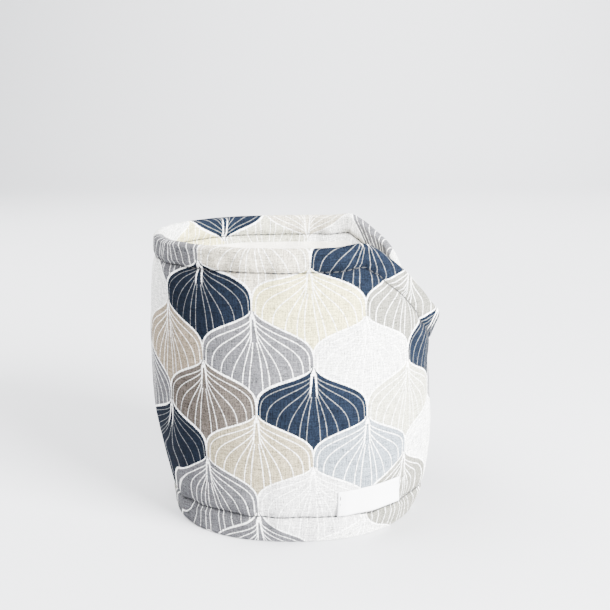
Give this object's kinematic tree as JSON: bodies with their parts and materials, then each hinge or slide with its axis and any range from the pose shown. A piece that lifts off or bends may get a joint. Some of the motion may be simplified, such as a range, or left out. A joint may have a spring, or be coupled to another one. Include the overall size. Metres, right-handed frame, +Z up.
{
  "type": "french press cosy",
  "caption": "Padded cotton band that wraps a cafetiere of coffee, open above and below, with a notch in its rim and a bare tape label at its hem.",
  "frame": {"origin": "middle of the part's box, on the surface that the hem stands on", "axes": "+Z up, +X towards the notch in the rim, -Y towards the front, where the label is"},
  "size_m": [0.1292, 0.1156, 0.1264],
  "materials": {
    "printed_cotton": "matt plain-weave cotton, printed with a scale repeat in navy, taupe, greys and cream",
    "label_weave": "smooth white woven tape"
  },
  "bodies": {
    "root": {"cosy_band": "printed_cotton", "label_tape": "label_weave"}
  },
  "joints": []
}
